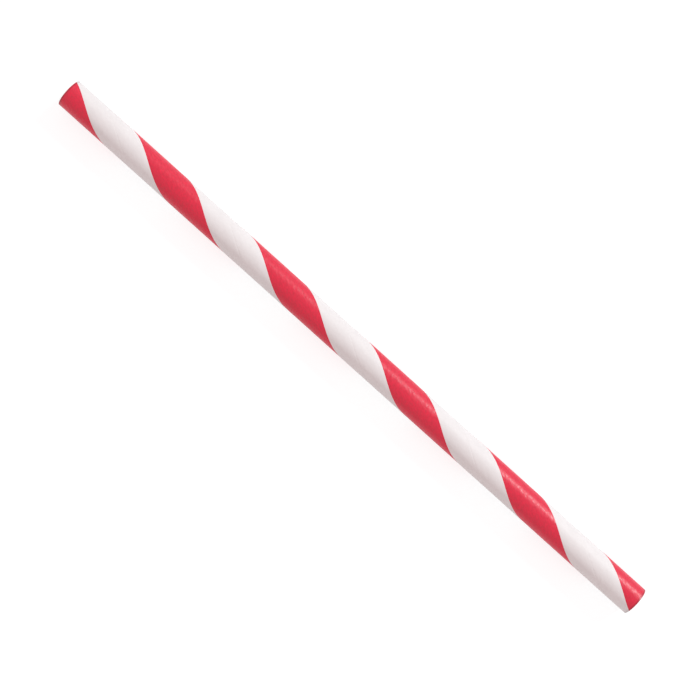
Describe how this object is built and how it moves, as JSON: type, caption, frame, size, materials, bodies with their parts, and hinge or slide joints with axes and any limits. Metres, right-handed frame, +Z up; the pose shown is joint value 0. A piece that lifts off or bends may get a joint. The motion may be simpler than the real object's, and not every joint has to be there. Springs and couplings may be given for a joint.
{
  "type": "paper drinking straw",
  "caption": "Straight paper drinking straw: a spiral-wound white tube, open at both ends, with a printed red spiral stripe.",
  "frame": {"origin": "on the table, under the middle of the lying straw", "axes": "+X along the straw's axis, +Z up, away from the table"},
  "size_m": [0.197, 0.008, 0.008],
  "materials": {
    "printed_paper": "smooth uncoated white paper with a soft sheen, printed with a rose red spiral stripe 10 mm wide across the tape"
  },
  "bodies": {
    "root": {"straw_tube": "printed_paper"}
  },
  "joints": []
}
